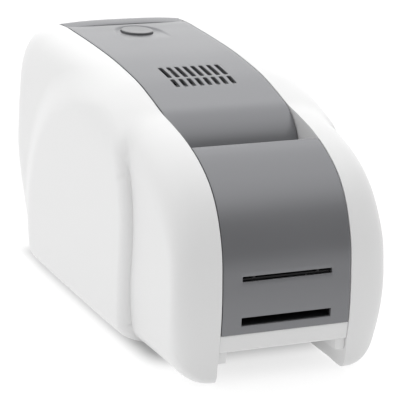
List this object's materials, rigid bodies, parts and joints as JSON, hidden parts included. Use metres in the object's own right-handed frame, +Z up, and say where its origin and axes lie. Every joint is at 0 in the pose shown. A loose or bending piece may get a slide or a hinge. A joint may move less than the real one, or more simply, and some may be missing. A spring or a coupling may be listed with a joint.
{
  "type": "id card printer",
  "caption": "Desktop printer for plastic cards with white side casings, a grey hinged top cover, front card slots and a rear card hopper.",
  "frame": {"origin": "middle of the printer's footprint on the table", "axes": "+Z up, the front with the card slots faces -Y, +X is the right-hand side seen from the front"},
  "size_m": [0.208, 0.3475, 0.2032],
  "materials": {
    "white_plastic": "satin moulded plastic",
    "grey_plastic": "satin moulded plastic, dark grey",
    "button_plastic": "satin moulded plastic, grey",
    "black_plastic": "matt moulded plastic",
    "zinc_plated_steel": "zinc plated sheet",
    "bright_steel": "ground steel",
    "natural_nylon": "natural nylon",
    "white_nylon": "white nylon",
    "brass": "turned brass",
    "heat_sink_alloy": "extruded, plain",
    "printhead_ceramic": "glazed ceramic",
    "motor_steel": "drawn steel can",
    "circuit_board": "solder mask",
    "black_rubber": "matt rubber",
    "cleaning_rubber": "tacky rubber",
    "ribbon_foil": "thin coated film"
  },
  "bodies": {
    "printer_body": {"base_tray": "black_plastic", "front_crossbar": "white_plastic", "left_casing": "white_plastic", "right_casing": "white_plastic", "front_panel": "grey_plastic", "rear_panel": "grey_plastic", "left_frame": "zinc_plated_steel", "right_frame": "zinc_plated_steel", "rubber_feet": "black_rubber", "frame_screws": "bright_steel", "cover_hinge_pins": "bright_steel", "door_hinge_rod": "bright_steel", "shaft_bushes": "natural_nylon", "card_bed": "black_plastic", "card_hopper": "black_plastic", "exit_chute": "black_plastic", "latch_strikes": "zinc_plated_steel", "drive_motor": "motor_steel", "take_up_motor": "motor_steel", "main_board": "circuit_board", "board_standoffs": "natural_nylon", "power_inlet": "black_plastic", "data_port": "zinc_plated_steel", "switch_housing": "black_plastic", "ribbon_film": "ribbon_foil", "idler_axles": "bright_steel"},
    "top_cover": {"top_cover": "grey_plastic", "head_bracket": "zinc_plated_steel", "thermal_printhead": "printhead_ceramic", "head_heat_sink": "heat_sink_alloy", "latch_bracket": "black_plastic", "button_spring": "bright_steel"},
    "release_button": {"release_button": "button_plastic"},
    "latch_hook": {"latch_hook": "bright_steel"},
    "hopper_door": {"hopper_door": "grey_plastic"},
    "card_weight": {"card_weight": "black_plastic"},
    "feed_drive": {"feed_roller": "black_rubber", "feed_gear": "natural_nylon"},
    "cleaning_drive": {"cleaning_roller": "cleaning_rubber", "cleaning_gear": "natural_nylon"},
    "platen_drive": {"platen_roller": "black_rubber", "platen_gear": "natural_nylon"},
    "transport_drive": {"transport_roller": "black_rubber", "transport_gear": "natural_nylon"},
    "exit_drive": {"exit_roller": "black_rubber", "exit_gear": "natural_nylon"},
    "rear_pinch": {"rear_pinch_roller": "bright_steel"},
    "front_pinch": {"front_pinch_roller": "bright_steel"},
    "pinion": {"motor_pinion": "brass"},
    "supply": {"supply_spool": "natural_nylon", "supply_ribbon_roll": "ribbon_foil"},
    "take_up": {"take_up_spool": "natural_nylon", "take_up_ribbon_roll": "ribbon_foil"},
    "power_rocker": {"power_switch": "black_rubber"},
    "idler_1": {"idler_gear_1": "white_nylon"},
    "idler_2": {"idler_gear_2": "white_nylon"},
    "idler_3": {"idler_gear_3": "white_nylon"},
    "idler_4": {"idler_gear_4": "white_nylon"},
    "idler_5": {"idler_gear_5": "white_nylon"},
    "idler_6": {"idler_gear_6": "white_nylon"}
  },
  "joints": [
    {"name": "cover_hinge", "type": "hinge", "parent": "printer_body", "child": "top_cover", "pos_m": [0, -0.026, 0.1419], "axis": [1, 0, 0], "range_deg": [0, 80]},
    {"name": "button_press", "type": "slide", "parent": "top_cover", "child": "release_button", "axis": [0, 0, -1], "range_m": [0, 0.003], "stiffness_N_per_m": 400, "springref_m": -0.002, "deforming": ["button_spring"]},
    {"name": "latch_turn", "type": "hinge", "parent": "top_cover", "child": "latch_hook", "pos_m": [0, 0.1125, 0.1784], "axis": [1, 0, 0], "range_deg": [-9, 0]},
    {"name": "door_hinge", "type": "hinge", "parent": "printer_body", "child": "hopper_door", "pos_m": [0, 0.168, 0.1019], "axis": [-1, 0, 0], "range_deg": [0, 90]},
    {"name": "weight_slide", "type": "slide", "parent": "printer_body", "child": "card_weight", "axis": [0, 0, 1], "range_m": [0, 0.055]},
    {"name": "platen_turn", "type": "hinge", "parent": "printer_body", "child": "platen_drive", "pos_m": [0, -0.0095, 0.0784], "axis": [1, 0, 0], "continuous": true},
    {"name": "feed_turn", "type": "hinge", "parent": "printer_body", "child": "feed_drive", "pos_m": [0, 0.0705, 0.0784], "axis": [1, 0, 0], "continuous": true},
    {"name": "cleaning_turn", "type": "hinge", "parent": "printer_body", "child": "cleaning_drive", "pos_m": [0, 0.0305, 0.0784], "axis": [1, 0, 0], "continuous": true},
    {"name": "transport_turn", "type": "hinge", "parent": "printer_body", "child": "transport_drive", "pos_m": [0, -0.0495, 0.0784], "axis": [1, 0, 0], "continuous": true},
    {"name": "exit_turn", "type": "hinge", "parent": "printer_body", "child": "exit_drive", "pos_m": [0, -0.1295, 0.0784], "axis": [1, 0, 0], "continuous": true},
    {"name": "idler_1_turn", "type": "hinge", "parent": "printer_body", "child": "idler_1", "pos_m": [0, 0.0505, 0.0784], "axis": [1, 0, 0], "continuous": true},
    {"name": "idler_2_turn", "type": "hinge", "parent": "printer_body", "child": "idler_2", "pos_m": [0, 0.0105, 0.0784], "axis": [1, 0, 0], "continuous": true},
    {"name": "idler_3_turn", "type": "hinge", "parent": "printer_body", "child": "idler_3", "pos_m": [0, -0.0295, 0.0784], "axis": [1, 0, 0], "continuous": true},
    {"name": "idler_4_turn", "type": "hinge", "parent": "printer_body", "child": "idler_4", "pos_m": [0, -0.0695, 0.0784], "axis": [1, 0, 0], "continuous": true},
    {"name": "idler_5_turn", "type": "hinge", "parent": "printer_body", "child": "idler_5", "pos_m": [0, -0.0895, 0.0784], "axis": [1, 0, 0], "continuous": true},
    {"name": "idler_6_turn", "type": "hinge", "parent": "printer_body", "child": "idler_6", "pos_m": [0, -0.1095, 0.0784], "axis": [1, 0, 0], "continuous": true},
    {"name": "pinion_turn", "type": "hinge", "parent": "printer_body", "child": "pinion", "pos_m": [0, -0.0295, 0.0604], "axis": [1, 0, 0], "continuous": true},
    {"name": "rear_pinch_turn", "type": "hinge", "parent": "printer_body", "child": "rear_pinch", "pos_m": [0, 0.0305, 0.0908], "axis": [1, 0, 0], "continuous": true},
    {"name": "front_pinch_turn", "type": "hinge", "parent": "printer_body", "child": "front_pinch", "pos_m": [0, -0.0495, 0.0908], "axis": [1, 0, 0], "continuous": true},
    {"name": "supply_turn", "type": "hinge", "parent": "printer_body", "child": "supply", "pos_m": [0, 0.0435, 0.1194], "axis": [1, 0, 0], "continuous": true},
    {"name": "take_up_turn", "type": "hinge", "parent": "printer_body", "child": "take_up", "pos_m": [0, -0.0895, 0.1144], "axis": [1, 0, 0], "continuous": true},
    {"name": "power_rocker_turn", "type": "hinge", "parent": "printer_body", "child": "power_rocker", "pos_m": [0.001, 0.1663, 0.0544], "axis": [-1, 0, 0], "range_deg": [0, 16]}
  ],
  "couplings": [
    {"joint": "latch_turn", "follows": "button_press", "rad_per_m": -52},
    {"joint": "feed_turn", "follows": "platen_turn", "ratio": 1},
    {"joint": "cleaning_turn", "follows": "platen_turn", "ratio": 1},
    {"joint": "transport_turn", "follows": "platen_turn", "ratio": 1},
    {"joint": "exit_turn", "follows": "platen_turn", "ratio": 1},
    {"joint": "idler_1_turn", "follows": "platen_turn", "ratio": -1},
    {"joint": "idler_2_turn", "follows": "platen_turn", "ratio": -1},
    {"joint": "idler_3_turn", "follows": "platen_turn", "ratio": -1},
    {"joint": "idler_4_turn", "follows": "platen_turn", "ratio": -1},
    {"joint": "idler_5_turn", "follows": "platen_turn", "ratio": 1},
    {"joint": "idler_6_turn", "follows": "platen_turn", "ratio": -1},
    {"joint": "pinion_turn", "follows": "platen_turn", "ratio": 1.25},
    {"joint": "rear_pinch_turn", "follows": "platen_turn", "ratio": -1.9},
    {"joint": "front_pinch_turn", "follows": "platen_turn", "ratio": -1.9},
    {"joint": "take_up_turn", "follows": "supply_turn", "ratio": 1.4444}
  ]
}
